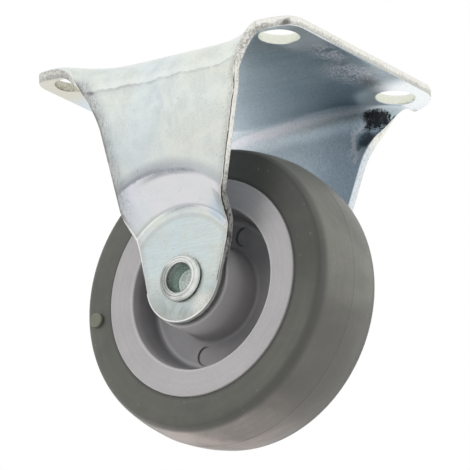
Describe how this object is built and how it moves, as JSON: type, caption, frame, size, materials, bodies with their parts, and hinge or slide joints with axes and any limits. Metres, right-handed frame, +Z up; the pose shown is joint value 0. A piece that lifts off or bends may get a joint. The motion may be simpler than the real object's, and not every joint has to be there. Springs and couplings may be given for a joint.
{
  "type": "fixed castor",
  "caption": "Fixed castor with a flat mounting plate, folded steel legs and a wheel with a soft crowned tyre turning on a rivet between them.",
  "frame": {"origin": "centre of the mounting plate's top face", "axes": "+Z up, out of the mounting plate's top face; +X the way the castor rolls; +Y along the axle; the wheel hangs below at negative Z"},
  "size_m": [0.08, 0.07, 0.0952],
  "materials": {
    "zinc_plate": "bright zinc plating, satin",
    "zinc_rivet": "bright zinc plating, satin",
    "grey_plastic": "satin, as moulded",
    "grey_rubber": "matt, as moulded"
  },
  "bodies": {
    "frame": {"bracket": "zinc_plate", "axle_rivet": "zinc_rivet"},
    "wheel": {"wheel_hub": "grey_plastic", "tyre": "grey_rubber"}
  },
  "joints": [
    {"name": "wheel_spin", "type": "hinge", "parent": "frame", "child": "wheel", "pos_m": [0, 0, -0.0577], "axis": [0, 1, 0], "continuous": true}
  ]
}
